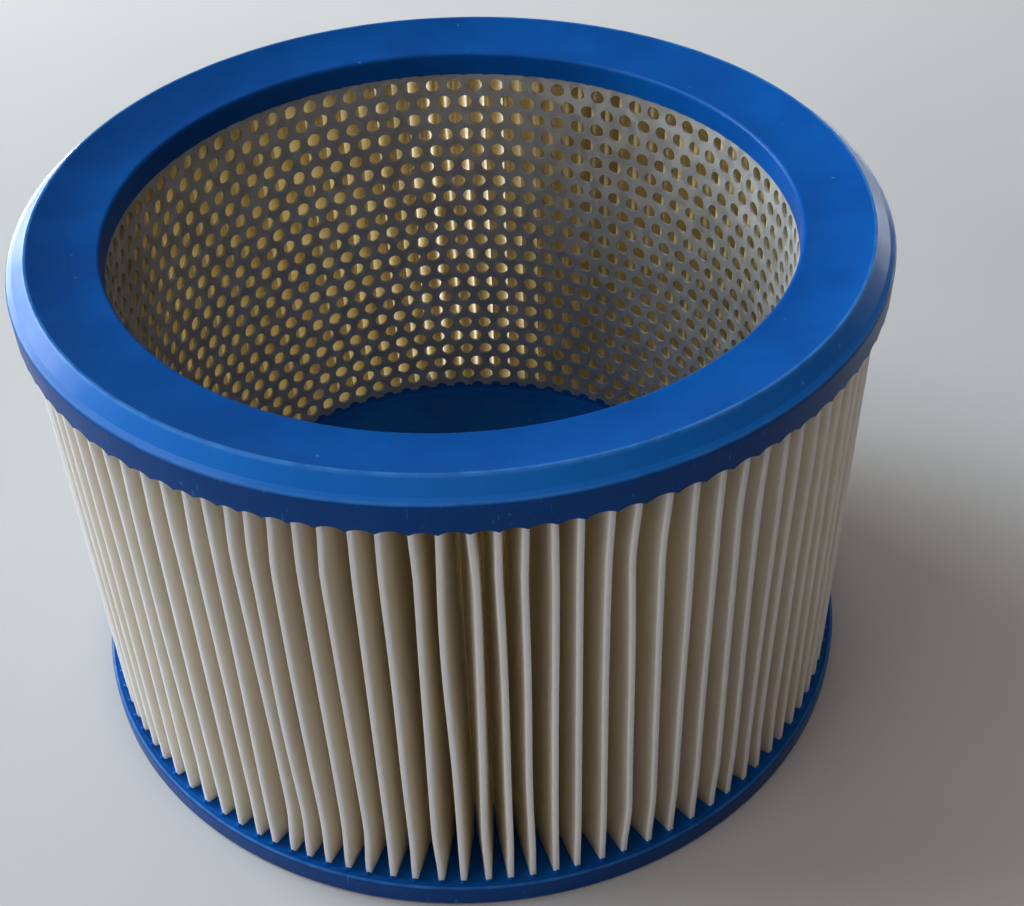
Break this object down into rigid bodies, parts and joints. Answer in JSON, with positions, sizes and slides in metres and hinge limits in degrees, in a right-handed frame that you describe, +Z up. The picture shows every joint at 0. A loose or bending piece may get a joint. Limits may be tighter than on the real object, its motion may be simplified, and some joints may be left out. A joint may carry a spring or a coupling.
{
  "type": "vacuum filter",
  "caption": "Round pleated cartridge filter: an open blue moulded ring on top, a closed cap below, fleece folded around a perforated steel core",
  "frame": {"origin": "centre of the underside of the bottom cap, on the surface it stands on", "axes": "Z up along the axis of the cartridge, open end up; X to the right and Y away from the viewer"},
  "size_m": [0.21, 0.21, 0.1369],
  "materials": {
    "polyurethane": "gloss",
    "fleece": "matte",
    "galvanised": "satin"
  },
  "bodies": {
    "root": {"top_end_ring": "polyurethane", "bottom_end_cap": "polyurethane", "pleated_media": "fleece", "inner_core": "galvanised"}
  },
  "joints": []
}
